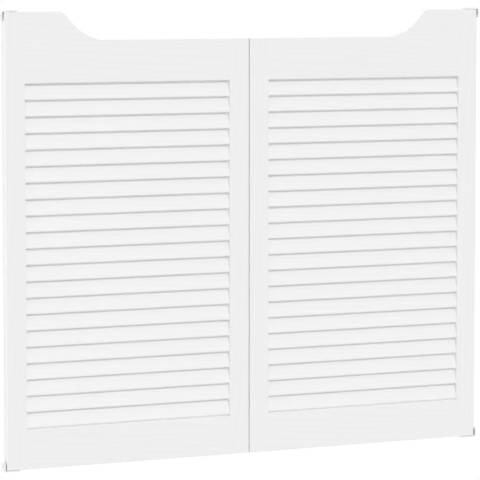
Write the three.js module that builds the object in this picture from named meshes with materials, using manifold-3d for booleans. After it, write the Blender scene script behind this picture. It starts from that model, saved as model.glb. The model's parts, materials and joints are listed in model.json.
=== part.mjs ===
// A pair of louvred cafe doors: two half-height leaves that swing both ways on pivots in the stile ends.
// Millimetres. +Z is up, -Y is the front, X runs across the doorway and is 0 in the meeting gap.
// Z is 0 on the underside of the lower pivot brackets, and Y is 0 at half the leaf's thickness.
import * as THREE from "three";
import { mergeVertices } from "three/addons/utils/BufferGeometryUtils.js";
import Module from "manifold-3d";

const wasm = await Module();
wasm.setup();

// The leaf
const LEAF_WIDTH = 610;
const LEAF_HEIGHT = 1061; // at the hinge side
const LEAF_THICKNESS = 22;
const MEETING_GAP = 1.5;
const STILE_WIDTH = 50;
const TOP_RAIL_DEPTH = 98.5; // under the low part of the scoop
const BOTTOM_RAIL_DEPTH = 93.5;

// The scooped top edge, from the hinge edge to the meeting edge
const SHOULDER_RISE = 66;
const SHOULDER_FLAT = 131;
const SHOULDER_ROUND = 25;
const SCOOP_ROUND = 105;
const SCOOP_SLOPE = THREE.MathUtils.degToRad(47);

// The fixed slats, lower edge to the front, housed in slots in both stiles
const SLAT_COUNT = 21;
const SLAT_WIDTH = 46;
const SLAT_THICKNESS = 6;
const SLAT_TILT = THREE.MathUtils.degToRad(20); // from the vertical
const SLAT_HOUSING = 6;
const SLAT_FOOT_GAP = 1.5; // under the lowest slat
const RAIL_LIP = 3.5; // thickness of the top rail in front of the first slat
const LIP_ROUND = 2.5; // front edge of that lip
const REBATE_ROOM = 18; // behind the lip, over the first slat's upper edge

// Woodworking joints and edges
const TENON_LENGTH = 30;
const TENON_THICKNESS = 8;
const TENON_SHOULDER = 12; // on the side of the slats
const MORTISE_COVER = 5; // wood between a pivot bush and the nearest tenon
const WOOD_FIT = 0.3;
const ARRIS = 1.2;
const END_EASE = 0.8;
const HEEL_ROUND = 3; // outer corners of the hinge stile, which pass close to the jamb

// Pivot hardware
const PIVOT_INSET = 25; // from the leaf's hinge edge to the pivot axis
const PIN_DIAMETER = 8;
const PIN_CHAMFER = 1;
const PIN_END_GAP = 3;
const RUNNING_CLEARANCE = 0.35;
const BUSH_LENGTH = 24;
const BUSH_WALL = 2;
const FLANGE_OVERHANG = 2;
const FLANGE_THICKNESS = 2.5;
const FLANGE_PROUD = 0.5; // keeps the wood off the bracket arm
const THRUST_GAP = 0.3;
const STRAP_THICKNESS = 3;
const STRAP_WIDTH = 20;
const STRAP_BEND = 1.5; // inside radius
const SWING_CLEARANCE = 1.5; // between the heel's sweep and the jamb plate
const PLATE_DROP = 20;
const PLATE_CORNER = 4;
const SCREW_HOLE = 4;
const SCREW_HEAD = 7.6;
const SCREW_SPACING = 10; // across the plate

// Facets of the round shapes
const ROUND_SIDES = 24;
const EDGE_STEPS = 3;
const NOSE_STEPS = 3;
const CURVE_STEPS = 12;
const OVERCUT = 4; // how far a cutting shape passes the face that it opens

// Sizes that follow from those above
const MEETING_HEIGHT = LEAF_HEIGHT - SHOULDER_RISE;
const OPENING_WIDTH = LEAF_WIDTH - 2 * STILE_WIDTH;
const OPENING_TOP = MEETING_HEIGHT - TOP_RAIL_DEPTH;
const SLAT_PITCH = (OPENING_TOP - BOTTOM_RAIL_DEPTH - SLAT_FOOT_GAP) / SLAT_COUNT;
const NOSE_OFFSET = (SLAT_WIDTH - SLAT_THICKNESS) / 2; // from a slat's centre to the centre of its round edge
const SLAT_REACH = NOSE_OFFSET * Math.cos(SLAT_TILT) + SLAT_THICKNESS / 2; // half of a tilted slat's height
const SLAT_OVERLAP = Math.max(2 * SLAT_REACH - SLAT_PITCH, 0); // of a slat and the edge above it
const REBATE_HEIGHT = SLAT_OVERLAP + REBATE_ROOM;
const PIN_RADIUS = PIN_DIAMETER / 2;
const BORE_RADIUS = PIN_RADIUS + RUNNING_CLEARANCE;
const BUSH_RADIUS = BORE_RADIUS + BUSH_WALL;
const FLANGE_RADIUS = BUSH_RADIUS + FLANGE_OVERHANG;
const BUSH_TIP = BUSH_LENGTH - FLANGE_PROUD; // how deep the bush sits in the stile's end
const ARM_GAP = FLANGE_PROUD + THRUST_GAP; // from the stile's end to the bracket arm
const PIN_LENGTH = BUSH_LENGTH + THRUST_GAP - PIN_END_GAP;
const TENON_END_SHOULDER = BUSH_TIP + WOOD_FIT + MORTISE_COVER; // on the side of the leaf's top or bottom end
const HEEL_SWEEP =
  Math.hypot(PIVOT_INSET - HEEL_ROUND, LEAF_THICKNESS / 2 - HEEL_ROUND) + HEEL_ROUND;
const PLATE_FACE = HEEL_SWEEP + SWING_CLEARANCE; // from the pivot axis to the jamb plate's near face
const LEAF_BASE = STRAP_THICKNESS + ARM_GAP; // height of the leaf's bottom end

// Colours and finishes
const PAINTED_WOOD = { color: 0xf0f0f0, roughness: 0.5, metalness: 0 };
const PAINTED_STEEL = { color: 0xeeeeee, roughness: 0.4, metalness: 0 };
const NYLON = { color: 0xe6e4dc, roughness: 0.45, metalness: 0 };

// A closed geometry as a solid that can be cut and joined.
function solidOf(geometry) {
  const bare = geometry.clone();
  bare.deleteAttribute("normal");
  bare.deleteAttribute("uv");
  const merged = mergeVertices(bare);
  return new wasm.Manifold(
    new wasm.Mesh({
      numProp: 3,
      vertProperties: merged.attributes.position.array,
      triVerts: new Uint32Array(merged.index.array),
    }),
  );
}

function geometryOf(solid) {
  const mesh = solid.getMesh();
  const geometry = new THREE.BufferGeometry();
  geometry.setAttribute("position", new THREE.BufferAttribute(mesh.vertProperties, 3));
  geometry.setIndex(new THREE.BufferAttribute(mesh.triVerts, 1));
  geometry.computeVertexNormals();
  return geometry;
}

// A box given by its lowest and highest corner.
function box(low, high) {
  const from = new THREE.Vector3(...low);
  const to = new THREE.Vector3(...high);
  const size = to.clone().sub(from);
  const middle = from.add(to).multiplyScalar(0.5);
  return new THREE.BoxGeometry(size.x, size.y, size.z).translate(middle.x, middle.y, middle.z);
}

// A profile of [radius, height] points turned about the Z axis.
function turned(profile) {
  const points = profile.map(([radius, height]) => new THREE.Vector2(radius, height));
  return new THREE.LatheGeometry(points, ROUND_SIDES).rotateX(Math.PI / 2);
}

// An outline in X and Z, carried through the thickness in Y, with rounded front and back edges.
function board(outline, thickness, ease) {
  const depth = thickness - 2 * ease;
  const geometry = new THREE.ExtrudeGeometry(outline, {
    depth,
    curveSegments: CURVE_STEPS,
    bevelEnabled: true,
    bevelSegments: EDGE_STEPS,
    bevelThickness: ease,
    bevelSize: ease,
    bevelOffset: -ease,
  });
  return geometry.translate(0, 0, -depth / 2).rotateX(Math.PI / 2);
}

// An outline in X and Z, carried through in Y with square edges.
function slab(outline, thickness, steps) {
  const settings = { depth: thickness, curveSegments: steps, bevelEnabled: false };
  return new THREE.ExtrudeGeometry(outline, settings).translate(0, 0, -thickness / 2).rotateX(Math.PI / 2);
}

function rectangle(left, bottom, right, top) {
  const shape = new THREE.Shape();
  shape.moveTo(left, bottom);
  shape.lineTo(right, bottom);
  shape.lineTo(right, top);
  shape.lineTo(left, top);
  shape.closePath();
  return shape;
}

// A stile's section: a rectangle with one corner radius on its left side and another on its right.
function stileSection(left, right, leftRound, rightRound) {
  const side = LEAF_THICKNESS / 2;
  const shape = new THREE.Shape();
  shape.absarc(left + leftRound, leftRound - side, leftRound, Math.PI, 1.5 * Math.PI, false);
  shape.absarc(right - rightRound, rightRound - side, rightRound, -0.5 * Math.PI, 0, false);
  shape.absarc(right - rightRound, side - rightRound, rightRound, 0, 0.5 * Math.PI, false);
  shape.absarc(left + leftRound, side - leftRound, leftRound, 0.5 * Math.PI, Math.PI, false);
  return shape;
}

// A bar that stands on Z 0, with its end edges eased.
function uprightBar(section, height) {
  return new THREE.ExtrudeGeometry(section, {
    depth: height - 2 * END_EASE,
    curveSegments: EDGE_STEPS,
    bevelEnabled: true,
    bevelSegments: EDGE_STEPS,
    bevelThickness: END_EASE,
    bevelSize: END_EASE,
    bevelOffset: -END_EASE,
  }).translate(0, 0, END_EASE);
}

// A slat lying along X from 0 to its length, upright, with both long edges fully round.
function slatBlade(length, growth) {
  const radius = SLAT_THICKNESS / 2 + growth;
  const shape = new THREE.Shape();
  shape.absarc(NOSE_OFFSET, 0, radius, -0.5 * Math.PI, 0.5 * Math.PI, false);
  shape.absarc(-NOSE_OFFSET, 0, radius, 0.5 * Math.PI, 1.5 * Math.PI, false);
  const settings = { depth: length, curveSegments: NOSE_STEPS, bevelEnabled: false };
  return new THREE.ExtrudeGeometry(shape, settings).rotateY(Math.PI / 2);
}

// Height of a slat's centre above the leaf's bottom end. Slat 1 is the highest.
function slatHeight(number) {
  return OPENING_TOP - number * SLAT_PITCH + SLAT_REACH;
}

// The lowest and highest point of the tenons on the top and bottom rails.
const TOP_TENON = [OPENING_TOP + REBATE_HEIGHT + TENON_SHOULDER, MEETING_HEIGHT - TENON_END_SHOULDER];
const BOTTOM_TENON = [TENON_END_SHOULDER, BOTTOM_RAIL_DEPTH - TENON_SHOULDER];

function tenon([low, high], from, to, growth) {
  const half = TENON_THICKNESS / 2 + growth;
  return box([from, -half, low - growth], [to, half, high + growth]);
}

// A stile with the slots for its slats and the mortises for both rails cut into its inner face.
// The inner face is at X inner, and the wood lies on the side that inward points away from.
function slottedStile(bar, inner, inward) {
  const slotLength = SLAT_HOUSING + WOOD_FIT + OVERCUT;
  const slotStart = inward > 0 ? inner - SLAT_HOUSING - WOOD_FIT : inner - OVERCUT;
  const slot = slatBlade(slotLength, WOOD_FIT).rotateX(-SLAT_TILT);
  let stile = solidOf(bar);
  for (let number = 1; number <= SLAT_COUNT; number += 1) {
    const placed = slot.clone().translate(slotStart, 0, slatHeight(number));
    stile = stile.subtract(solidOf(placed));
  }
  const mortiseEnd = inner - inward * (TENON_LENGTH + WOOD_FIT);
  const ends = [mortiseEnd, inner + inward * OVERCUT].sort((a, b) => a - b);
  for (const span of [TOP_TENON, BOTTOM_TENON]) {
    stile = stile.subtract(solidOf(tenon(span, ends[0], ends[1], WOOD_FIT)));
  }
  return stile;
}

// The recess for a pivot bush and its flange, sunk from Z 0 downwards.
function bushRecess() {
  const flange = FLANGE_RADIUS + WOOD_FIT;
  const body = BUSH_RADIUS + WOOD_FIT;
  const seat = FLANGE_PROUD - FLANGE_THICKNESS;
  return turned([
    [0, -BUSH_TIP - WOOD_FIT],
    [body, -BUSH_TIP - WOOD_FIT],
    [body, seat],
    [flange, seat],
    [flange, OVERCUT],
    [0, OVERCUT],
  ]);
}

function hingeStile() {
  const section = stileSection(0, STILE_WIDTH, HEEL_ROUND, ARRIS);
  const stile = slottedStile(uprightBar(section, LEAF_HEIGHT), STILE_WIDTH, 1);
  const top = bushRecess().translate(PIVOT_INSET, 0, LEAF_HEIGHT);
  const bottom = bushRecess().rotateX(Math.PI).translate(PIVOT_INSET, 0, 0);
  return geometryOf(stile.subtract(solidOf(top)).subtract(solidOf(bottom)));
}

function meetingStile() {
  const inner = LEAF_WIDTH - STILE_WIDTH;
  const section = stileSection(inner, LEAF_WIDTH, ARRIS, ARRIS);
  return geometryOf(slottedStile(uprightBar(section, MEETING_HEIGHT), inner, -1));
}

// A rail from an outline that runs past both stiles: its ends are cut square, and then get their tenons.
function railWithTenons(outline, span) {
  const left = STILE_WIDTH;
  const right = LEAF_WIDTH - STILE_WIDTH;
  const room = box([left, -LEAF_THICKNESS, -OVERCUT], [right, LEAF_THICKNESS, LEAF_HEIGHT + OVERCUT]);
  const body = solidOf(board(outline, LEAF_THICKNESS, ARRIS)).intersect(solidOf(room));
  const leftTenon = tenon(span, left - TENON_LENGTH, left + OVERCUT, 0);
  const rightTenon = tenon(span, right - OVERCUT, right + TENON_LENGTH, 0);
  return body.add(solidOf(leftTenon)).add(solidOf(rightTenon));
}

// The top rail's outline: level shoulder, rounded corner, straight slope, hollow curve, low level edge.
function topRailOutline() {
  const left = STILE_WIDTH - OVERCUT;
  const right = LEAF_WIDTH - STILE_WIDTH + OVERCUT;
  const rounds = SHOULDER_ROUND + SCOOP_ROUND;
  const slopeDrop = SHOULDER_RISE - rounds * (1 - Math.cos(SCOOP_SLOPE));
  const scoopEnd = SHOULDER_FLAT + rounds * Math.sin(SCOOP_SLOPE) + slopeDrop / Math.tan(SCOOP_SLOPE);
  const hollow = [-0.5 * Math.PI, -0.5 * Math.PI - SCOOP_SLOPE];
  const corner = [0.5 * Math.PI - SCOOP_SLOPE, 0.5 * Math.PI];
  const shape = new THREE.Shape();
  shape.moveTo(left, OPENING_TOP);
  shape.lineTo(right, OPENING_TOP);
  shape.lineTo(right, MEETING_HEIGHT);
  shape.absarc(scoopEnd, MEETING_HEIGHT + SCOOP_ROUND, SCOOP_ROUND, hollow[0], hollow[1], true);
  shape.absarc(SHOULDER_FLAT, LEAF_HEIGHT - SHOULDER_ROUND, SHOULDER_ROUND, corner[0], corner[1], false);
  shape.lineTo(left, LEAF_HEIGHT);
  shape.closePath();
  return shape;
}

// A cutter that runs along X over the leaf's width. Its section's points are [height, Y].
function lengthwise(section) {
  const settings = { depth: LEAF_WIDTH, curveSegments: EDGE_STEPS, bevelEnabled: false };
  return new THREE.ExtrudeGeometry(section, settings).rotateY(-Math.PI / 2).translate(LEAF_WIDTH, 0, 0);
}

// The space behind the top rail's lip, along the slats' slope, so that the first slat sits as under another.
function railRebate() {
  const slope = Math.tan(SLAT_TILT);
  const lip = RAIL_LIP - LEAF_THICKNESS / 2;
  const low = OPENING_TOP - OVERCUT;
  const high = OPENING_TOP + REBATE_HEIGHT;
  const section = new THREE.Shape();
  section.moveTo(low, lip - OVERCUT * slope);
  section.lineTo(high, lip + REBATE_HEIGHT * slope);
  section.lineTo(high, LEAF_THICKNESS);
  section.lineTo(low, LEAF_THICKNESS);
  section.closePath();
  return lengthwise(section);
}

// What rounding takes off the front edge of the top rail's lip.
function lipCorner() {
  const front = -LEAF_THICKNESS / 2;
  const centre = [OPENING_TOP + LIP_ROUND, front + LIP_ROUND];
  const section = new THREE.Shape();
  section.moveTo(centre[0], front - OVERCUT);
  section.lineTo(centre[0], front);
  section.absarc(centre[0], centre[1], LIP_ROUND, -0.5 * Math.PI, -Math.PI, true);
  section.lineTo(OPENING_TOP - OVERCUT, centre[1]);
  section.lineTo(OPENING_TOP - OVERCUT, front - OVERCUT);
  section.closePath();
  return lengthwise(section);
}

function topRail() {
  const rail = railWithTenons(topRailOutline(), TOP_TENON);
  return geometryOf(rail.subtract(solidOf(railRebate())).subtract(solidOf(lipCorner())));
}

function bottomRail() {
  const left = STILE_WIDTH - OVERCUT;
  const right = LEAF_WIDTH - STILE_WIDTH + OVERCUT;
  return geometryOf(railWithTenons(rectangle(left, 0, right, BOTTOM_RAIL_DEPTH), BOTTOM_TENON));
}

// A flanged bush for the top end of a stile: Z 0 is the stile's end.
function pivotBush() {
  const seat = FLANGE_PROUD - FLANGE_THICKNESS;
  return turned([
    [BORE_RADIUS, -BUSH_TIP],
    [BUSH_RADIUS, -BUSH_TIP],
    [BUSH_RADIUS, seat],
    [FLANGE_RADIUS, seat],
    [FLANGE_RADIUS, FLANGE_PROUD],
    [BORE_RADIUS, FLANGE_PROUD],
    [BORE_RADIUS, -BUSH_TIP],
  ]);
}

// The bent strap of a bracket, seen from the front: an arm along X over a plate that hangs down.
function strapOutline() {
  const near = -PLATE_FACE;
  const far = near - STRAP_THICKNESS;
  const outside = STRAP_BEND + STRAP_THICKNESS;
  const shape = new THREE.Shape();
  shape.moveTo(STRAP_WIDTH / 2, 0);
  shape.lineTo(STRAP_WIDTH / 2, STRAP_THICKNESS);
  shape.absarc(near + STRAP_BEND, -STRAP_BEND, outside, 0.5 * Math.PI, Math.PI, false);
  shape.lineTo(far, -PLATE_DROP);
  shape.lineTo(near, -PLATE_DROP);
  shape.absarc(near + STRAP_BEND, -STRAP_BEND, STRAP_BEND, Math.PI, 0.5 * Math.PI, true);
  shape.closePath();
  return shape;
}

// The strap's plan, with its free end round about the pivot axis.
function strapPlan() {
  const half = STRAP_WIDTH / 2;
  const start = -PLATE_FACE - STRAP_THICKNESS - OVERCUT;
  const shape = new THREE.Shape();
  shape.moveTo(start, -half);
  shape.lineTo(0, -half);
  shape.absarc(0, 0, half, -0.5 * Math.PI, 0.5 * Math.PI, false);
  shape.lineTo(start, half);
  shape.closePath();
  return shape;
}

// The jamb plate seen along X, with rounded lower corners.
function plateFace() {
  const half = STRAP_WIDTH / 2;
  const top = STRAP_THICKNESS + OVERCUT;
  const centre = PLATE_CORNER - PLATE_DROP;
  const shape = new THREE.Shape();
  shape.moveTo(half, top);
  shape.lineTo(-half, top);
  shape.absarc(PLATE_CORNER - half, centre, PLATE_CORNER, Math.PI, 1.5 * Math.PI, false);
  shape.absarc(half - PLATE_CORNER, centre, PLATE_CORNER, -0.5 * Math.PI, 0, false);
  shape.closePath();
  return shape;
}

// A countersunk screw hole through the jamb plate, its wide end on the leaf's side.
function screwHole() {
  const head = SCREW_HEAD / 2;
  const hole = SCREW_HOLE / 2;
  const sink = head - hole;
  const cutter = turned([
    [0, -STRAP_THICKNESS - OVERCUT],
    [hole, -STRAP_THICKNESS - OVERCUT],
    [hole, -sink],
    [head, 0],
    [head, OVERCUT],
    [0, OVERCUT],
  ]);
  return cutter.rotateY(Math.PI / 2).translate(-PLATE_FACE, 0, 0);
}

// A bracket for the top of a leaf: its pin hangs down from Z 0, on the pivot axis.
function jambBracket() {
  const length = PLATE_FACE + STRAP_THICKNESS + STRAP_WIDTH + 2 * OVERCUT;
  const height = PLATE_DROP + STRAP_THICKNESS + 2 * OVERCUT;
  const planSettings = { depth: height, curveSegments: CURVE_STEPS, bevelEnabled: false };
  const faceSettings = { depth: length, curveSegments: EDGE_STEPS, bevelEnabled: false };
  const plan = new THREE.ExtrudeGeometry(strapPlan(), planSettings).translate(0, 0, -PLATE_DROP - OVERCUT);
  const face = new THREE.ExtrudeGeometry(plateFace(), faceSettings)
    .rotateX(Math.PI / 2)
    .rotateZ(Math.PI / 2)
    .translate(-PLATE_FACE - STRAP_THICKNESS - OVERCUT, 0, 0);
  const pin = turned([
    [0, -PIN_LENGTH],
    [PIN_RADIUS - PIN_CHAMFER, -PIN_LENGTH],
    [PIN_RADIUS, PIN_CHAMFER - PIN_LENGTH],
    [PIN_RADIUS, STRAP_THICKNESS / 2],
    [0, STRAP_THICKNESS / 2],
  ]);
  let bracket = solidOf(slab(strapOutline(), STRAP_WIDTH, EDGE_STEPS));
  bracket = bracket.intersect(solidOf(plan)).intersect(solidOf(face)).add(solidOf(pin));
  for (const side of [-0.5, 0.5]) {
    const hole = screwHole().translate(0, side * SCREW_SPACING, -PLATE_DROP / 2);
    bracket = bracket.subtract(solidOf(hole));
  }
  return geometryOf(bracket);
}

function piece(name, geometry, finish) {
  const mesh = new THREE.Mesh(geometry, new THREE.MeshStandardMaterial(finish));
  mesh.name = name;
  return mesh;
}

// One leaf with its pivots: X 0 is its hinge edge and X LEAF_WIDTH its meeting edge, Z 0 its bottom end.
function leaf(side) {
  const group = new THREE.Group();
  group.add(piece(`${side}_hinge_stile`, hingeStile(), PAINTED_WOOD));
  group.add(piece(`${side}_meeting_stile`, meetingStile(), PAINTED_WOOD));
  group.add(piece(`${side}_top_rail`, topRail(), PAINTED_WOOD));
  group.add(piece(`${side}_bottom_rail`, bottomRail(), PAINTED_WOOD));
  for (let number = 1; number <= SLAT_COUNT; number += 1) {
    const blade = slatBlade(OPENING_WIDTH + 2 * SLAT_HOUSING, 0);
    const slat = piece(`${side}_slat_${String(number).padStart(2, "0")}`, blade, PAINTED_WOOD);
    slat.position.set(STILE_WIDTH - SLAT_HOUSING, 0, slatHeight(number));
    slat.rotation.x = -SLAT_TILT;
    group.add(slat);
  }
  const ends = [
    { end: "upper", height: LEAF_HEIGHT, armHeight: LEAF_HEIGHT + ARM_GAP, turn: 0 },
    { end: "lower", height: 0, armHeight: -ARM_GAP, turn: Math.PI },
  ];
  for (const { end, height, armHeight, turn } of ends) {
    const bush = piece(`${side}_${end}_pivot_bush`, pivotBush(), NYLON);
    bush.position.set(PIVOT_INSET, 0, height);
    bush.rotation.x = turn;
    const bracket = piece(`${side}_${end}_jamb_bracket`, jambBracket(), PAINTED_STEEL);
    bracket.position.set(PIVOT_INSET, 0, armHeight);
    bracket.rotation.x = turn;
    group.add(bush, bracket);
  }
  return group;
}

const doors = new THREE.Group();
const leftLeaf = leaf("left");
leftLeaf.position.set(-MEETING_GAP / 2 - LEAF_WIDTH, 0, LEAF_BASE);
const rightLeaf = leaf("right");
rightLeaf.position.set(MEETING_GAP / 2 + LEAF_WIDTH, 0, LEAF_BASE);
rightLeaf.scale.x = -1; // the mirror image of the left leaf
doors.add(leftLeaf, rightLeaf);

export default doors;
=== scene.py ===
"""Dresses a pair of louvred cafe doors: slats, painted frames, filled joints, pivots, screws and a studio."""

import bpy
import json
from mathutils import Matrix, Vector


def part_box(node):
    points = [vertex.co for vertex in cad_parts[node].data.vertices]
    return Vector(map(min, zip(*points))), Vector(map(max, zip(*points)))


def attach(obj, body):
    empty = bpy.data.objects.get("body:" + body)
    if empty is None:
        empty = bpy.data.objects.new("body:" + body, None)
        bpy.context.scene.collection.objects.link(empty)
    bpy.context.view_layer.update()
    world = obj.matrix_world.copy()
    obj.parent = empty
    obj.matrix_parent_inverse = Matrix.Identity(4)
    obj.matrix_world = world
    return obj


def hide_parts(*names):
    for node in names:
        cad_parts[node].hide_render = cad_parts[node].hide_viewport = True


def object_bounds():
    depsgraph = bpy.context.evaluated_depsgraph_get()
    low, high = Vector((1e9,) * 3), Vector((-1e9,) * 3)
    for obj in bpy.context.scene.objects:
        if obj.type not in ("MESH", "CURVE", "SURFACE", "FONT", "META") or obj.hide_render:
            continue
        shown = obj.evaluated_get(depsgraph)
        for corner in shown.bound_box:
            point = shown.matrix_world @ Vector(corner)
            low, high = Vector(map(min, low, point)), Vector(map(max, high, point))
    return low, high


bl_info = {
    "name": "Louvred Cafe Doors",
    "version": (1, 0, 0),
    "blender": (4, 5, 0),
    "location": "3D View > Sidebar > Cafe Doors",
    "description": "Slats, paint, pivots and a studio for a pair of louvred swing doors",
    "category": "Object",
}

import json
import math

import bpy
import numpy as np
from bpy.props import FloatProperty, FloatVectorProperty, IntProperty, PointerProperty
from mathutils import Vector

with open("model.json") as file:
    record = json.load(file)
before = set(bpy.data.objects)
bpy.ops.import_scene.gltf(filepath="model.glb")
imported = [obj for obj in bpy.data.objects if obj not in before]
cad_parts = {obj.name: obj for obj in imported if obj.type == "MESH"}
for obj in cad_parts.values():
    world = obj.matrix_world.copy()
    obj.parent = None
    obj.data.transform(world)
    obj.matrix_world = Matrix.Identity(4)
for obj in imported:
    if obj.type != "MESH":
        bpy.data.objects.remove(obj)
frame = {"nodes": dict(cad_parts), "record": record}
CAD_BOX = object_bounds()

MM = 0.001
SIDES = ("left", "right")
STILES = ("hinge", "meeting")
RAILS = ("top", "bottom")
ENDS = ("upper", "lower")
BRACKET_BODY = "jamb_brackets"
JAMB_FACES = [mount for mount in frame["record"]["mounts"] if mount["name"].endswith("_jamb_face")]
SMOOTH_BELOW = math.radians(35)
STILE_PAINT = "stile_paint"

# Along the grain, growth rings and streaks are drawn out by these shares of their size across it.
RING_STRETCH = (0.06, 1, 1)
STREAK_STRETCH = (0.02, 1, 1)
DRIFT_SHARE = 0.4
# Noise scales of the coats' ripples, how much darker their tops are, and how far their sheen varies.
STEEL_RIPPLES = 900
NYLON_RIPPLES = 300
ZINC_RIPPLES = 2400
RIPPLE_SHADE = 0.04
SHEEN_SPREAD = 0.15
# Size of a screw's cross recess at its bottom, as a share of its size at the top.
RECESS_TAPER = 0.8


def length_property(name, description, default):
    """A length in metres, shown in the scene's units."""
    return FloatProperty(name=name, description=description, default=default, unit="LENGTH", precision=5)


def angle_property(name, description, degrees):
    """An angle in radians, given and shown in degrees."""
    return FloatProperty(name=name, description=description, default=math.radians(degrees), subtype="ANGLE")


def share_property(name, description, default):
    """A share from 0 to 1."""
    return FloatProperty(name=name, description=description, default=default, subtype="FACTOR", min=0, max=1)


def level_property(name, description, default):
    """A level of light."""
    return FloatProperty(name=name, description=description, default=default, min=0)


def place_property(name, description, default):
    """A point in metres."""
    return FloatVectorProperty(name=name, description=description, default=default, subtype="TRANSLATION")


def colour_property(name, description, default):
    """A linear colour."""
    return FloatVectorProperty(
        name=name, description=description, default=default, subtype="COLOR", size=3, min=0, max=1
    )


class SlatSettings(bpy.types.PropertyGroup):
    """Sizes of the fixed slats that their solids don't give."""

    thickness: length_property("Thickness", "Distance between a slat's flat faces", 6 * MM)
    fillet: length_property("Paint fillet", "Radius of the paint in the corner of slat and stile", 0.8 * MM)
    sink: length_property("Fillet sink", "How far the paint's rim lies inside the stile", 0.1 * MM)
    nose_steps: IntProperty(
        name="Nose steps", description="Facets round each long edge of a slat", default=16, min=4
    )
    fillet_steps: IntProperty(
        name="Fillet steps", description="Facets across the paint fillet", default=5, min=2
    )


class PaintSettings(bpy.types.PropertyGroup):
    """Satin paint on wood whose grain shows faintly."""

    frame_colour: colour_property("Frame colour", "Paint of the stiles and rails", (0.84, 0.84, 0.84))
    slat_colour: colour_property("Slat colour", "Paint of the slats", (0.85, 0.85, 0.85))
    grain_shade: share_property("Grain shade", "How much darker the paint is over the grain", 0.055)
    roughness: share_property("Roughness", "Mean roughness of the satin paint", 0.46)
    roughness_spread: share_property("Roughness spread", "How far roughness varies over a board", 0.1)
    grain_depth: length_property("Grain depth", "Height of the grain under the paint", 0.035 * MM)
    peel_depth: length_property("Peel depth", "Height of the ripple that a roller leaves", 0.02 * MM)


class JointSettings(bpy.types.PropertyGroup):
    """Filler in the grooves between the rails and the stiles."""

    width: length_property("Groove width", "Width of the stiles' eased edges", 1.2 * MM)
    sink: length_property("Filler sink", "How far the filler lies below the faces beside it", 0.02 * MM)
    margin: length_property("Filler margin", "How far the filler ends from a rail's edges", 2.5 * MM)
    rebate_height: length_property("Rebate height", "Height of the rebate behind the top rail", 23.4 * MM)


class PivotSettings(bpy.types.PropertyGroup):
    """Finishes of the pivots, and the screws that hold the brackets to the jambs."""

    steel_colour: colour_property("Bracket colour", "Powder coat of the brackets", (0.85, 0.85, 0.85))
    nylon_colour: colour_property("Bush colour", "Natural nylon of the bushes", (0.8, 0.79, 0.75))
    screw_colour: colour_property("Screw colour", "Zinc plate of the screws", (0.62, 0.63, 0.64))
    steel_roughness: share_property("Bracket roughness", "Roughness of the powder coat", 0.42)
    nylon_roughness: share_property("Bush roughness", "Roughness of the nylon", 0.38)
    screw_roughness: share_property("Screw roughness", "Roughness of the zinc plate", 0.34)
    steel_ripple: length_property("Bracket ripple", "Height of the powder coat's ripple", 0.02 * MM)
    nylon_ripple: length_property("Bush ripple", "Height of the nylon's ripple", 0.01 * MM)
    screw_ripple: length_property("Screw ripple", "Height of the zinc plate's ripple", 0.005 * MM)
    screw_spacing: length_property("Screw spacing", "Distance between a plate's two screws", 10 * MM)
    plate_thickness: length_property("Plate thickness", "Thickness of a jamb plate", 3 * MM)
    head_radius: length_property("Head radius", "Radius of a screw's countersunk head", 3.6 * MM)
    shank_radius: length_property("Shank radius", "Radius of a screw under its head", 1.75 * MM)
    head_sink: length_property("Head sink", "How far a head lies below the plate's face", 0.15 * MM)
    rim: length_property("Head rim", "Height of the head's straight rim", 0.15 * MM)
    recess_reach: length_property("Recess reach", "Length of one arm of the cross recess", 1.7 * MM)
    recess_half: length_property("Recess half width", "Half of the width of an arm", 0.5 * MM)
    recess_depth: length_property("Recess depth", "Depth of the cross recess", 1.2 * MM)


class StageSettings(bpy.types.PropertyGroup):
    """Camera, lamps, floor and background."""

    camera_place: place_property("Camera place", "In front and to the left", (-2.502, -5.811, 1.153))
    camera_turn: angle_property("Camera turn", "How far the camera looks to the right", 23.133)
    camera_tilt: angle_property("Camera tilt", "How far the camera looks up", -4.708)
    camera_shift: FloatProperty(
        name="Camera shift", description="Vertical shift of the lens, as a share of the frame", default=-0.1
    )
    lens: FloatProperty(name="Lens", description="Focal length in millimetres", default=199.12)
    floor_drop: length_property("Floor drop", "Height of the doors above the floor", 0.35)
    floor_half: length_property("Floor half width", "From the middle of the floor to its edge", 60.0)
    floor_colour: colour_property("Floor colour", "Pale floor under the doors", (0.88, 0.88, 0.88))
    fade_start: length_property("Fade start", "Where the floor starts to fade into the background", 0.8)
    fade_end: length_property("Fade end", "Where the floor has become the background", 1.5)
    low_light: level_property("Low light", "Light from the walls of the studio", 0.46)
    high_light: level_property("High light", "Light from the studio's ceiling", 0.85)
    wall_top: angle_property("Wall top", "Elevation up to which the walls give all their light", 15)
    ceiling: angle_property("Ceiling", "Elevation from which the ceiling gives all its light", 55)
    lamp_spread: angle_property("Lamp spread", "Angle that a lamp fills, seen from the doors", 14)
    front_light: level_property("Front lamp", "Light from the lamp in front", 1.1)
    front_turn: angle_property("Front lamp turn", "From straight in front, towards the right", -5)
    front_rise: angle_property("Front lamp rise", "Elevation of the lamp in front", 29)
    back_light: level_property("Back lamp", "Light from the lamp behind", 0.82)
    back_turn: angle_property("Back lamp turn", "From straight in front, towards the right", 180)
    back_rise: angle_property("Back lamp rise", "Elevation of the lamp behind", 20)
    side_light: level_property("Side lamp", "Light from the lamp on the left", 1.05)
    side_turn: angle_property("Side lamp turn", "From straight in front, towards the right", -95)
    side_rise: angle_property("Side lamp rise", "Elevation of the lamp on the left", 3)


def mesh_object(name, points, faces):
    """A piece at the origin from points and faces, shaded smooth except across sharp edges."""
    mesh = bpy.data.meshes.new(name)
    mesh.from_pydata(points, [], faces)
    mesh.validate()
    mesh.shade_smooth()
    mesh.set_sharp_from_angle(angle=SMOOTH_BELOW)
    piece = bpy.data.objects.new(name, mesh)
    bpy.context.scene.collection.objects.link(piece)
    return piece


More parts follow.
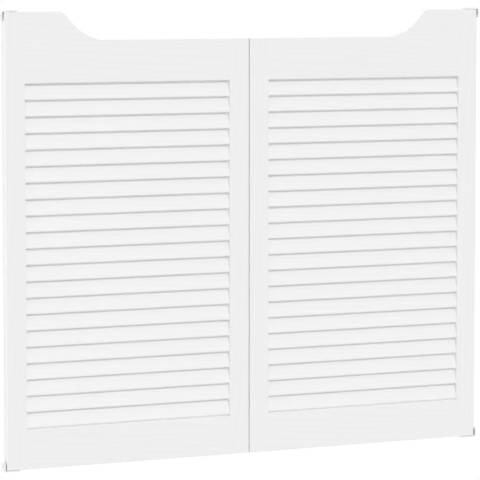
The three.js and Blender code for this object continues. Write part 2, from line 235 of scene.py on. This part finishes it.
def sleeve(rows):
    """A closed skin over rows of points, each row a ring with as many points as the others.

    Point k of one row is joined to points k and k + 1 of the next, the last point to the first again, and
    the first and last rows are closed by triangles that meet in the ring's middle. Rings that turn
    anticlockwise, seen from the side that the rows go towards, give faces that point outwards.
    """
    count, width = rows.shape[:2]
    here = np.arange(count * width).reshape(count, width)
    beside = np.roll(here, -1, axis=1)
    sides = np.stack([here[:-1], beside[:-1], beside[1:], here[1:]], axis=-1).reshape(-1, 4)
    first = np.full(width, count * width)
    last = first + 1
    start = np.stack([beside[0], here[0], first], axis=-1)
    end = np.stack([here[-1], beside[-1], last], axis=-1)
    middles = np.stack([rows[0].mean(axis=0), rows[-1].mean(axis=0)])
    points = np.concatenate([rows.reshape(-1, 3), middles])
    return points, sides.tolist() + start.tolist() + end.tolist()


def joined(skins):
    """The points and faces of several skins as those of one."""
    points = []
    faces = []
    shift = 0
    for skin_points, skin_faces in skins:
        points.append(skin_points)
        faces += [[corner + shift for corner in loop] for loop in skin_faces]
        shift += len(skin_points)
    return np.concatenate(points), faces


def slat_rows(low, high, inner_faces, slat):
    """Rings along a tilted slat with round long edges and a fillet of paint at each stile.

    The section is two half circles about the points middle + reach * d and middle - reach * d, where d is
    the slat's own direction in Y and Z, joined by flats: an angle a round it gives middle +- reach * d
    + (radius + growth) * (cos a * d + sin a * n), with n square to d. The growth is 0 along the slat. Near
    a stile's face it follows a hollow quarter circle of the fillet's radius f: f - f * cos p away from the
    face, the section grows by f - f * sin p, for p from 0 to a quarter turn. A plain ring at 2 * f from the
    face keeps the fillet's slope out of the shading of the slat's long faces.
    """
    radius = slat.thickness / 2
    half = (high - low) / 2
    lean = np.array([0, half.y - radius, half.z - radius])
    reach = np.linalg.norm(lean)
    along = lean / reach
    across = np.array([0, -along[2], along[1]])
    nose = np.linspace(-math.pi / 2, math.pi / 2, slat.nose_steps + 1)
    angles = np.concatenate([nose, nose + math.pi])
    ends = np.repeat([reach, -reach], slat.nose_steps + 1)
    outward = np.outer(np.cos(angles), along) + np.outer(np.sin(angles), across)
    centres = np.outer(ends, along)
    hollow = np.linspace(0, math.pi / 2, slat.fillet_steps + 1)
    away = slat.fillet * (1 - np.cos(hollow))
    growth = slat.fillet * (1 - np.sin(hollow))
    plain = 2 * slat.fillet
    start, stop = inner_faces
    near = np.concatenate([[low.x], [start - slat.sink] * 2, start + away, [start + plain]])
    far = np.concatenate([[stop - plain], stop - away[::-1], [stop + slat.sink] * 2, [high.x]])
    near_growth = np.concatenate([[0, 0, slat.fillet], growth, [0]])
    stations = np.concatenate([near, far])
    grown = np.concatenate([near_growth, near_growth[::-1]])
    middle = (low + high) / 2
    rows = centres + (radius + grown)[:, None, None] * outward
    rows[..., 0] += stations[:, None]
    rows[..., 1] += middle.y
    rows[..., 2] += middle.z
    return rows


def fill_rows(corner, towards, span, joint):
    """Two rings of a three-cornered strip in the groove between a rail's end and a stile's eased edge.

    The corner is the rail's, in X and Y, and towards holds the signs of the stile's side in X and of the
    leaf's outside in Y. With w for the groove's width, the section's corners are the rail's corner, a point
    w beside it on the stile's face and a point w behind it, all moved a little under the faces. The span
    gives the heights of both rings.
    """
    across, outside = towards
    beside = joint.width + joint.sink
    section = np.array([[0.0, 0.0], [across * beside, 0.0], [0.0, -outside * joint.width]])
    section += np.array(corner) - (0, outside * joint.sink)
    if across == outside:
        section = section[::-1]
    return np.stack([np.column_stack([section, np.full(3, height)]) for height in span])


def joint_fills(side, joint):
    """Skins of the strips at both ends of a leaf's two rails, on its front and on its back."""
    middle = sum(corner.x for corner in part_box(f"{side}_top_rail")) / 2
    for board in RAILS:
        rail_low, rail_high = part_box(f"{side}_{board}_rail")
        for upright in STILES:
            stile_low, stile_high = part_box(f"{side}_{upright}_stile")
            across = -1 if stile_high.x < middle else 1
            inner = stile_high.x if across < 0 else stile_low.x
            low = max(rail_low.z, stile_low.z) + joint.margin
            high = min(rail_high.z, stile_high.z) - joint.margin
            for outside in (-1, 1):
                rebate = joint.rebate_height if board == "top" and outside > 0 else 0
                corner = (inner, stile_high.y * outside)
                yield sleeve(fill_rows(corner, (across, outside), (low + rebate, high), joint))


def recess_outline(reach, half):
    """Angles and radii of a cross seen along its axis, for one screw.

    From the middle, an arm's end at distance reach is reach / cos q away at the angle q from the arm, and
    its side at distance half is half / sin q away. The nearer of the two is the outline.
    """
    corner = math.atan2(half, reach)
    quarter = math.pi / 4
    turns = np.array([0, corner, (corner + quarter) / 2, quarter])
    steps = np.concatenate([turns, math.pi / 2 - turns[2:0:-1]])
    angles = np.concatenate([steps + k * math.pi / 2 for k in range(4)])
    from_arm = np.abs((angles + quarter) % (math.pi / 2) - quarter)
    radii = np.minimum(reach / np.cos(from_arm), half / np.maximum(np.sin(from_arm), half / reach))
    return angles, radii


def screw_rows(pivots):
    """Rings of a countersunk screw about the X axis, from its recess over the head to the end of its shank.

    Each ring has a radius for every angle round the axis and one depth below the head's top, which is X 0.
    The first rings follow the cross recess, and the others are circles. The angles go clockwise seen from the
    head, because the rings go down its outside.
    """
    angles, cross = recess_outline(pivots.recess_reach, pivots.recess_half)
    circle = np.ones_like(cross)
    cone_end = pivots.rim + pivots.head_radius - pivots.shank_radius
    rings = [
        (cross * RECESS_TAPER, pivots.recess_depth),
        (cross, 0),
        (circle * (pivots.head_radius - pivots.rim), 0),
        (circle * pivots.head_radius, pivots.rim),
        (circle * pivots.shank_radius, cone_end),
        (circle * pivots.shank_radius, pivots.plate_thickness - 2 * pivots.head_sink),
    ]
    radii = np.array([ring for ring, depth in rings])
    depths = np.array([depth for ring, depth in rings])
    x = np.broadcast_to(-depths[:, None], radii.shape)
    return np.stack([x, radii * np.cos(angles), -radii * np.sin(angles)], axis=-1)


def feed(tree, node, inputs):
    """Give each named input of a node a value, or a link from another node's output."""
    for name, value in inputs.items():
        if isinstance(value, bpy.types.NodeSocket):
            tree.links.new(value, node.inputs[name])
        else:
            node.inputs[name].default_value = value


def add_node(tree, kind, inputs=None, **settings):
    """A node with its settings and inputs."""
    made = tree.nodes.new(kind)
    for name, value in settings.items():
        setattr(made, name, value)
    feed(tree, made, inputs or {})
    return made


def add_math(tree, operation, first, second):
    """The result of an operation on two numbers."""
    return add_node(tree, "ShaderNodeMath", {0: first, 1: second}, operation=operation).outputs[0]


def new_group(name, inputs, outputs):
    """An empty shader group with its sockets, the outputs of its input node, and its output node."""
    group = bpy.data.node_groups.new(name, "ShaderNodeTree")
    for socket, kind, default in inputs:
        made = group.interface.new_socket(socket, in_out="INPUT", socket_type=kind)
        if default is not None:
            made.default_value = default
    for socket in outputs:
        group.interface.new_socket(socket, in_out="OUTPUT", socket_type="NodeSocketFloat")
    return group, group.nodes.new("NodeGroupInput").outputs, group.nodes.new("NodeGroupOutput")


def grain_group():
    """Softwood under paint, with the grain along X: uneven growth rings, fine streaks and slow drifts.

    Grain is the rings where the streaks are strong, and Tone is Grain mixed with the slow Drift.
    """
    group, given, made = new_group(
        "Painted Grain",
        [
            ("Vector", "NodeSocketVector", None),
            ("Ring Scale", "NodeSocketFloat", 42.0),
            ("Streak Scale", "NodeSocketFloat", 260.0),
        ],
        ["Grain", "Drift", "Tone"],
    )
    long_rings = add_node(
        group, "ShaderNodeVectorMath", {0: given["Vector"], 1: RING_STRETCH}, operation="MULTIPLY"
    )
    rings = add_node(
        group,
        "ShaderNodeTexWave",
        {
            "Vector": long_rings.outputs[0],
            "Scale": given["Ring Scale"],
            "Distortion": 16.0,
            "Detail": 2.0,
            "Detail Scale": 0.35,
        },
        wave_type="BANDS",
        bands_direction="DIAGONAL",
    )
    long_streaks = add_node(
        group, "ShaderNodeVectorMath", {0: given["Vector"], 1: STREAK_STRETCH}, operation="MULTIPLY"
    )
    streaks = add_node(
        group,
        "ShaderNodeTexNoise",
        {"Vector": long_streaks.outputs[0], "Scale": given["Streak Scale"], "Detail": 3.0, "Roughness": 0.6},
    )
    drift = add_node(
        group, "ShaderNodeTexNoise", {"Vector": given["Vector"], "Scale": 7.0, "Detail": 2.0, "Roughness": 0.5}
    )
    both = add_math(group, "MULTIPLY", rings.outputs["Fac"], streaks.outputs["Fac"])
    tone = add_node(group, "ShaderNodeMix", {"Factor": DRIFT_SHARE, "A": both, "B": drift.outputs["Fac"]})
    feed(group, made, {"Grain": both, "Drift": drift.outputs["Fac"], "Tone": tone.outputs["Result"]})
    return group


def peel_group():
    """The fine ripple of a sprayed or rolled coat, the same in every direction."""
    group, given, made = new_group(
        "Paint Peel",
        [("Vector", "NodeSocketVector", None), ("Scale", "NodeSocketFloat", 420.0)],
        ["Ripple"],
    )
    ripple = add_node(
        group, "ShaderNodeTexNoise", {"Vector": given["Vector"], "Scale": given["Scale"], "Detail": 1.5}
    )
    feed(group, made, {"Ripple": ripple.outputs["Fac"]})
    return group


def place_group(tree, name, maker, inputs):
    """A node that holds the group of this name, which is made once, with its inputs."""
    group = bpy.data.node_groups.get(name) or maker()
    return add_node(tree, "ShaderNodeGroup", inputs, node_tree=group)


def new_material(name):
    """A material with an empty tree but for its Principled shader, and the coordinates of the piece."""
    material = bpy.data.materials.new(name)
    material.use_nodes = True
    tree = material.node_tree
    tree.nodes.clear()
    shader = tree.nodes.new("ShaderNodeBsdfPrincipled")
    add_node(tree, "ShaderNodeOutputMaterial", {"Surface": shader.outputs[0]})
    place = add_node(tree, "ShaderNodeTexCoord").outputs["Object"]
    return material, tree, shader, place


def shade_between(tree, factor, low, high):
    """A number that goes from low to high as the factor goes from 0 to 1."""
    return add_node(
        tree, "ShaderNodeMapRange", {"Value": factor, "To Min": low, "To Max": high}
    ).outputs["Result"]


def painted_wood(name, colour, turn, paint):
    """Satin paint over boards whose grain runs along X after the turn, with a ripple and a patchy sheen."""
    material, tree, shader, place = new_material(name)
    boards = add_node(tree, "ShaderNodeMapping", {"Vector": place, "Rotation": turn}).outputs[0]
    grain = place_group(tree, "Painted Grain", grain_group, {"Vector": boards})
    peel = place_group(tree, "Paint Peel", peel_group, {"Vector": place})
    shaded = [channel * (1 - paint.grain_shade) for channel in colour]
    tint = add_node(
        tree,
        "ShaderNodeMix",
        {"Factor": grain.outputs["Tone"], "A": (*colour, 1), "B": (*shaded, 1)},
        data_type="RGBA",
    )
    low = paint.roughness - paint.roughness_spread / 2
    high = paint.roughness + paint.roughness_spread / 2
    sheen = shade_between(tree, grain.outputs["Drift"], low, high)
    ripple = add_node(
        tree, "ShaderNodeBump", {"Height": peel.outputs["Ripple"], "Distance": paint.peel_depth}
    )
    raised = add_node(
        tree,
        "ShaderNodeBump",
        {"Height": grain.outputs["Grain"], "Distance": paint.grain_depth, "Normal": ripple.outputs[0]},
        invert=True,
    )
    looks = {"Base Color": tint.outputs["Result"], "Roughness": sheen, "Normal": raised.outputs[0]}
    feed(tree, shader, looks)
    return material


def coated(name, colour, roughness, ripples, ripple_height, metallic=0.0):
    """A plain coat or moulding with a fine ripple that also varies its sheen."""
    material, tree, shader, place = new_material(name)
    peel = place_group(tree, "Paint Peel", peel_group, {"Vector": place, "Scale": ripples})
    darker = [channel * (1 - RIPPLE_SHADE) for channel in colour]
    tint = add_node(
        tree,
        "ShaderNodeMix",
        {"Factor": peel.outputs["Ripple"], "A": (*colour, 1), "B": (*darker, 1)},
        data_type="RGBA",
    )
    low = roughness * (1 - SHEEN_SPREAD)
    high = roughness * (1 + SHEEN_SPREAD)
    sheen = shade_between(tree, peel.outputs["Ripple"], low, high)
    raised = add_node(
        tree, "ShaderNodeBump", {"Height": peel.outputs["Ripple"], "Distance": ripple_height}
    )
    looks = {"Base Color": tint.outputs["Result"], "Roughness": sheen, "Normal": raised.outputs[0]}
    feed(tree, shader, {**looks, "Metallic": metallic})
    return material


def dress(piece, material):
    """Give a piece one material alone."""
    piece.data.materials.clear()
    piece.data.materials.append(material)


class CAFEDOORS_OT_slats(bpy.types.Operator):
    """Stand a smooth slat, with paint in its corners, in the place of each faceted one"""

    bl_idname = "cafedoors.slats"
    bl_label = "Make Slats"

    def execute(self, context):
        slat = context.scene.cafe_slats
        paint = context.scene.cafe_paint
        material = painted_wood("slat_paint", paint.slat_colour, (0, 0, 0), paint)
        for side in SIDES:
            stiles = [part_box(f"{side}_{stile}_stile") for stile in STILES]
            stiles.sort(key=lambda box: box[0].x)
            inner_faces = (stiles[0][1].x, stiles[1][0].x)
            for node in sorted(n for n in frame["nodes"] if n.startswith(f"{side}_slat_")):
                low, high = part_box(node)
                piece = mesh_object(
                    node.replace("slat", "painted_slat"), *sleeve(slat_rows(low, high, inner_faces, slat))
                )
                dress(piece, material)
                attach(piece, f"{side}_leaf")
                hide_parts(node)
        return {"FINISHED"}


class CAFEDOORS_OT_frames(bpy.types.Operator):
    """Paint the stiles and rails of both leaves, each along its own grain"""

    bl_idname = "cafedoors.frames"
    bl_label = "Paint Frames"

    def execute(self, context):
        paint = context.scene.cafe_paint
        upright = painted_wood(STILE_PAINT, paint.frame_colour, (0, math.pi / 2, 0), paint)
        level = painted_wood("rail_paint", paint.frame_colour, (0, 0, 0), paint)
        for side in SIDES:
            for board in STILES:
                dress(frame["nodes"][f"{side}_{board}_stile"], upright)
            for board in RAILS:
                dress(frame["nodes"][f"{side}_{board}_rail"], level)
        return {"FINISHED"}


class CAFEDOORS_OT_joints(bpy.types.Operator):
    """Fill the grooves between the rails and the painted stiles, flush with both"""

    bl_idname = "cafedoors.joints"
    bl_label = "Fill Joints"

    def execute(self, context):
        joint = context.scene.cafe_joints
        for side in SIDES:
            piece = mesh_object(f"{side}_joint_fill", *joined(joint_fills(side, joint)))
            dress(piece, bpy.data.materials[STILE_PAINT])
            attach(piece, f"{side}_leaf")
        return {"FINISHED"}


class CAFEDOORS_OT_pivots(bpy.types.Operator):
    """Finish the jamb brackets in powder coat and the pivot bushes in nylon"""

    bl_idname = "cafedoors.pivots"
    bl_label = "Finish Pivots"

    def execute(self, context):
        pivots = context.scene.cafe_pivots
        steel = coated(
            "bracket_coat", pivots.steel_colour, pivots.steel_roughness, STEEL_RIPPLES, pivots.steel_ripple
        )
        nylon = coated(
            "bush_nylon", pivots.nylon_colour, pivots.nylon_roughness, NYLON_RIPPLES, pivots.nylon_ripple
        )
        for side in SIDES:
            for end in ENDS:
                dress(frame["nodes"][f"{side}_{end}_jamb_bracket"], steel)
                dress(frame["nodes"][f"{side}_{end}_pivot_bush"], nylon)
        return {"FINISHED"}


class CAFEDOORS_OT_screws(bpy.types.Operator):
    """Drive two countersunk screws through each jamb plate"""

    bl_idname = "cafedoors.screws"
    bl_label = "Drive Screws"

    def execute(self, context):
        pivots = context.scene.cafe_pivots
        zinc = coated(
            "screw_zinc", pivots.screw_colour, pivots.screw_roughness, ZINC_RIPPLES, pivots.screw_ripple, 1.0
        )
        points, faces = sleeve(screw_rows(pivots))
        screws = []
        for face in JAMB_FACES:
            outward = Vector(face["axis"])
            top = Vector(face["pos_m"]) - outward * (pivots.plate_thickness - pivots.head_sink)
            turned = points * (-outward.x, -outward.x, 1)
            for step in (-0.5, 0.5):
                place = np.array(top) + (0, step * pivots.screw_spacing, 0)
                screws.append((turned + place, faces))
        piece = mesh_object("jamb_screws", *joined(screws))
        dress(piece, zinc)
        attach(piece, BRACKET_BODY)
        return {"FINISHED"}


def background_rays(tree):
    """1 for the rays that show the background: from the camera, off gloss and through glass."""
    path = add_node(tree, "ShaderNodeLightPath").outputs
    gloss = add_math(tree, "MAXIMUM", path["Is Glossy Ray"], path["Is Transmission Ray"])
    return add_math(tree, "MAXIMUM", path["Is Camera Ray"], gloss)


def white_sky(stage):
    """A world that lights by one level from its walls and by another from its ceiling, seen as plain white."""
    world = bpy.data.worlds.new("studio")
    world.use_nodes = True
    tree = world.node_tree
    tree.nodes.clear()
    direction = add_node(tree, "ShaderNodeTexCoord").outputs["Generated"]
    height = add_node(tree, "ShaderNodeSeparateXYZ", {0: direction}).outputs["Z"]
    light = add_node(
        tree,
        "ShaderNodeMapRange",
        {
            "Value": height,
            "From Min": math.sin(stage.wall_top),
            "From Max": math.sin(stage.ceiling),
            "To Min": stage.low_light,
            "To Max": stage.high_light,
        },
        interpolation_type="SMOOTHSTEP",
    ).outputs["Result"]
    strength = shade_between(tree, background_rays(tree), light, 1.0)
    sky = add_node(tree, "ShaderNodeBackground", {"Color": (1, 1, 1, 1), "Strength": strength})
    add_node(tree, "ShaderNodeOutputWorld", {"Surface": sky.outputs[0]})
    return world


def pale_floor(stage):
    """A pale floor that takes shadows near the doors and fades into the white background further out."""
    material = bpy.data.materials.new("studio_floor")
    material.use_nodes = True
    tree = material.node_tree
    tree.nodes.clear()
    place = add_node(tree, "ShaderNodeTexCoord").outputs["Object"]
    level = add_node(tree, "ShaderNodeVectorMath", {0: place, 1: (1, 1, 0)}, operation="MULTIPLY").outputs[0]
    distance = add_node(tree, "ShaderNodeVectorMath", {0: level}, operation="LENGTH").outputs["Value"]
    fade = add_node(
        tree,
        "ShaderNodeMapRange",
        {"Value": distance, "From Min": stage.fade_start, "From Max": stage.fade_end},
        interpolation_type="SMOOTHSTEP",
    ).outputs["Result"]
    shown = add_math(tree, "MULTIPLY", fade, background_rays(tree))
    matt = add_node(tree, "ShaderNodeBsdfDiffuse", {"Color": (*stage.floor_colour, 1)})
    white = add_node(tree, "ShaderNodeEmission", {"Color": (1, 1, 1, 1), "Strength": 1.0})
    mixed = add_node(tree, "ShaderNodeMixShader", {0: shown, 1: matt.outputs[0], 2: white.outputs[0]})
    add_node(tree, "ShaderNodeOutputMaterial", {"Surface": mixed.outputs[0]})
    return material


def add_lamp(name, strength, turn, rise, spread):
    """A wide, far lamp that gives the same light everywhere, from its turn about Z and its elevation."""
    light = bpy.data.lights.new(name, "SUN")
    light.energy = strength
    light.angle = spread
    lamp = bpy.data.objects.new(name, light)
    lamp.rotation_euler = (math.pi / 2 - rise, 0, turn)
    bpy.context.scene.collection.objects.link(lamp)


def add_camera(stage):
    """A camera that looks along +Y when it is neither turned nor tilted."""
    data = bpy.data.cameras.new("photo_camera")
    data.lens = stage.lens
    data.shift_y = stage.camera_shift
    camera = bpy.data.objects.new("photo_camera", data)
    camera.location = stage.camera_place
    camera.rotation_euler = (math.pi / 2 + stage.camera_tilt, 0, -stage.camera_turn)
    bpy.context.scene.collection.objects.link(camera)
    return camera


class CAFEDOORS_OT_stage(bpy.types.Operator):
    """Set up the floor, the white background, the soft lamps and the camera"""

    bl_idname = "cafedoors.stage"
    bl_label = "Set Stage"

    def execute(self, context):
        stage = context.scene.cafe_stage
        edge = stage.floor_half
        level = CAD_BOX[0].z - stage.floor_drop
        corners = [(-edge, -edge, level), (edge, -edge, level), (edge, edge, level), (-edge, edge, level)]
        floor = mesh_object("studio_floor", corners, [(0, 1, 2, 3)])
        dress(floor, pale_floor(stage))
        context.scene.world = white_sky(stage)
        context.scene.view_settings.view_transform = "Standard"
        spread = stage.lamp_spread
        add_lamp("front_lamp", stage.front_light, stage.front_turn, stage.front_rise, spread)
        add_lamp("back_lamp", stage.back_light, stage.back_turn, stage.back_rise, spread)
        add_lamp("side_lamp", stage.side_light, stage.side_turn, stage.side_rise, spread)
        context.scene.camera = add_camera(stage)
        return {"FINISHED"}


class CAFEDOORS_PT_panel(bpy.types.Panel):
    """Lists the steps and the settings that each of them uses"""

    bl_idname = "CAFEDOORS_PT_panel"
    bl_label = "Cafe Doors"
    bl_space_type = "VIEW_3D"
    bl_region_type = "UI"
    bl_category = "Cafe Doors"

    def draw(self, context):
        for operators, name in PANEL_ROWS:
            box = self.layout.box()
            for operator in operators:
                box.operator(operator.bl_idname)
            settings = getattr(context.scene, name)
            for key in settings.bl_rna.properties.keys():
                if key not in ("rna_type", "name"):
                    box.prop(settings, key)


SETTINGS = {
    "cafe_slats": SlatSettings,
    "cafe_paint": PaintSettings,
    "cafe_joints": JointSettings,
    "cafe_pivots": PivotSettings,
    "cafe_stage": StageSettings,
}
OPERATORS = (
    CAFEDOORS_OT_slats,
    CAFEDOORS_OT_frames,
    CAFEDOORS_OT_joints,
    CAFEDOORS_OT_pivots,
    CAFEDOORS_OT_screws,
    CAFEDOORS_OT_stage,
)
PANEL_ROWS = (
    ((CAFEDOORS_OT_slats,), "cafe_slats"),
    ((CAFEDOORS_OT_frames,), "cafe_paint"),
    ((CAFEDOORS_OT_joints,), "cafe_joints"),
    ((CAFEDOORS_OT_pivots, CAFEDOORS_OT_screws), "cafe_pivots"),
    ((CAFEDOORS_OT_stage,), "cafe_stage"),
)
CLASSES = (*SETTINGS.values(), *OPERATORS, CAFEDOORS_PT_panel)


def register():
    """Add the classes to Blender and the settings to its scenes."""
    for cls in CLASSES:
        bpy.utils.register_class(cls)
    for name, group in SETTINGS.items():
        setattr(bpy.types.Scene, name, PointerProperty(type=group))


def unregister():
    """Take the settings and the classes out again."""
    for name in SETTINGS:
        delattr(bpy.types.Scene, name)
    for cls in reversed(CLASSES):
        bpy.utils.unregister_class(cls)


def main():
    """Make the whole scene."""
    register()
    bpy.ops.cafedoors.stage()
    bpy.ops.cafedoors.slats()
    bpy.ops.cafedoors.frames()
    bpy.ops.cafedoors.joints()
    bpy.ops.cafedoors.pivots()
    bpy.ops.cafedoors.screws()


if __name__ == "__main__":
    main()
